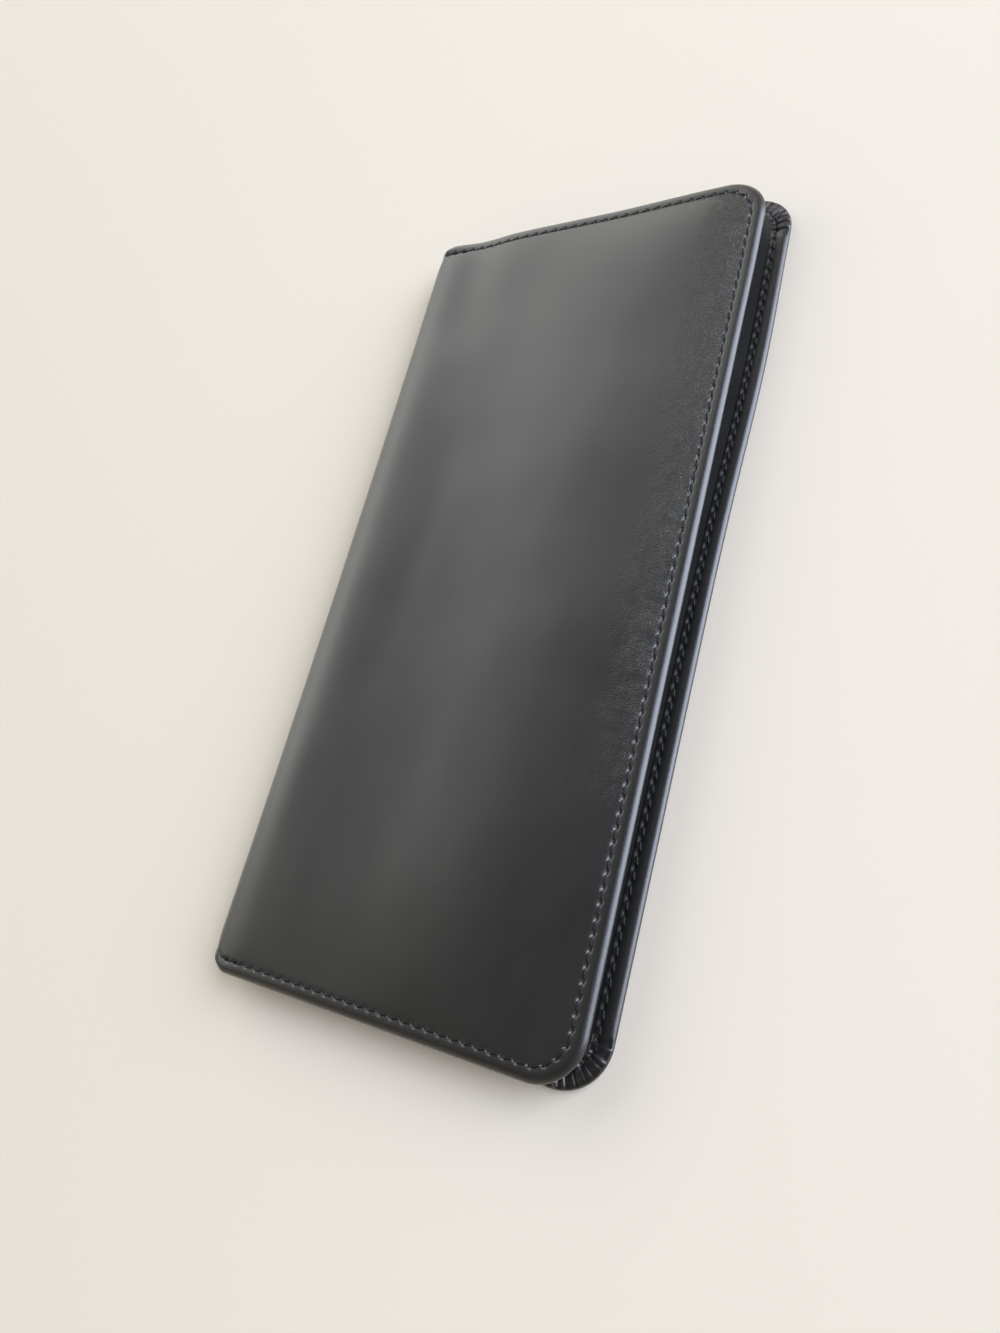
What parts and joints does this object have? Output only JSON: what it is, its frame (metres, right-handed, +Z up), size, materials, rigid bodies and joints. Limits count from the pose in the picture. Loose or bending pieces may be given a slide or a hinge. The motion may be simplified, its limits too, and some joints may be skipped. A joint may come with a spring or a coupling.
{
  "type": "travel wallet",
  "caption": "Long bifold leather travel wallet that opens like a book, with turned and stitched edges, round free corners, full-length pockets, a passport pocket and card slots.",
  "frame": {"origin": "centre of the bottom of the closed wallet's box, on the back cover's outer face", "axes": "+X from the spine to the free edges, +Y along the spine, +Z up out of the surface that the back cover lies on"},
  "size_m": [0.1098, 0.23, 0.0096],
  "materials": {
    "hide": "smooth black nappa, semi-matt",
    "pocket_leather": "thin black leather, pared",
    "lining_cloth": "black twill, glued flat",
    "stiffener_board": "dense pressed board",
    "thread": "black bonded polyester sewing thread"
  },
  "bodies": {
    "back_leaf": {"back_cover": "hide", "back_board": "stiffener_board", "back_lining": "lining_cloth", "boarding_pass_pocket": "pocket_leather", "passport_pocket": "pocket_leather"},
    "spine": {"spine_hide": "hide", "spine_lining": "lining_cloth"},
    "front_leaf": {"front_cover": "hide", "front_board": "stiffener_board", "front_lining": "lining_cloth", "banknote_pocket": "pocket_leather", "card_slot_rear": "pocket_leather", "card_slot_middle": "pocket_leather", "card_slot_front": "pocket_leather"}
  },
  "joints": [
    {"name": "spine_fold", "type": "hinge", "parent": "back_leaf", "child": "spine", "pos_m": [-0.05184, 0, 0.00174], "axis": [0, -1, 0], "range_deg": [0, 71.37]},
    {"name": "front_fold", "type": "hinge", "parent": "spine", "child": "front_leaf", "pos_m": [-0.0539, 0, 0.00786], "axis": [0, -1, 0], "range_deg": [0, 108.63]}
  ],
  "couplings": [
    {"joint": "spine_fold", "follows": "front_fold", "ratio": 0.65697}
  ]
}
